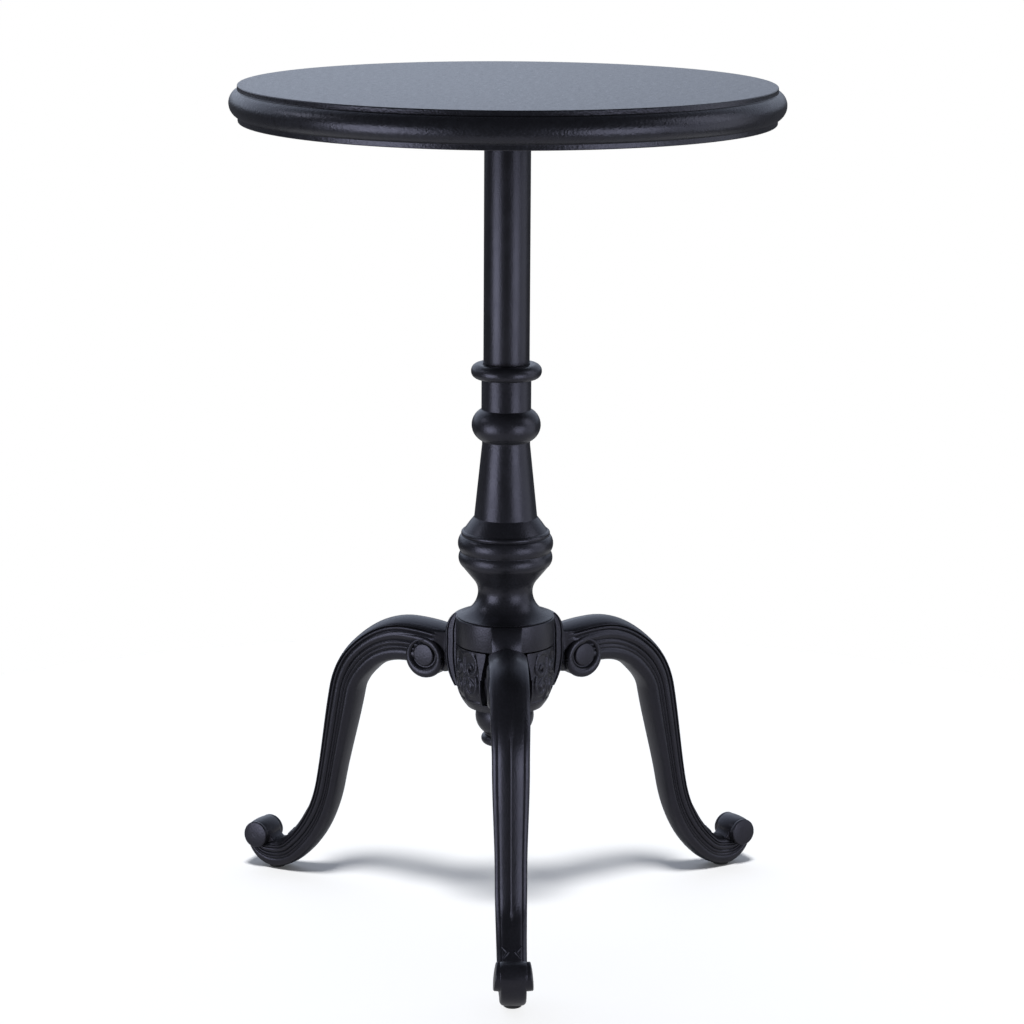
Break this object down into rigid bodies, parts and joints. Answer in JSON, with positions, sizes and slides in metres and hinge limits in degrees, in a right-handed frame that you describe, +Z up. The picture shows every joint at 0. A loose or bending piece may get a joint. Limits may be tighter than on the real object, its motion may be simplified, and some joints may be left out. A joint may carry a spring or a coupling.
{
  "type": "wine table",
  "caption": "Small round pedestal table in satin black: moulded round top on a slim pole, turned column, leaf cup with drop finial, and arched legs ending in scroll feet.",
  "frame": {"origin": "on the floor under the pole, midway between the feet", "axes": "+Z up along the pole, the front leg points along -Y, the others point to the back right and back left"},
  "size_m": [0.4526, 0.4789, 0.7],
  "materials": {
    "top_wood": "satin black paint with a fine grain",
    "cast_black": "satin black paint on cast metal",
    "painted_steel": "satin black paint",
    "bright_steel": "plain zinc-plated steel",
    "glide_nylon": "matt black nylon"
  },
  "bodies": {
    "root": {"table_top": "top_wood", "top_flange": "painted_steel", "flange_screws": "bright_steel", "tie_rod": "bright_steel", "tie_rod_washer": "bright_steel", "tie_rod_top_nut": "bright_steel", "hub_clamp_plate": "bright_steel", "hub_clamp_nut": "bright_steel", "pole": "painted_steel", "collar": "cast_black", "column": "cast_black", "hub": "cast_black", "leg_bolts": "bright_steel", "leg_bolt_washers": "bright_steel", "leaf_cup": "cast_black", "drop_finial": "cast_black", "foot_glides": "glide_nylon", "leg_front": "cast_black", "leg_right": "cast_black", "leg_left": "cast_black"}
  },
  "joints": []
}
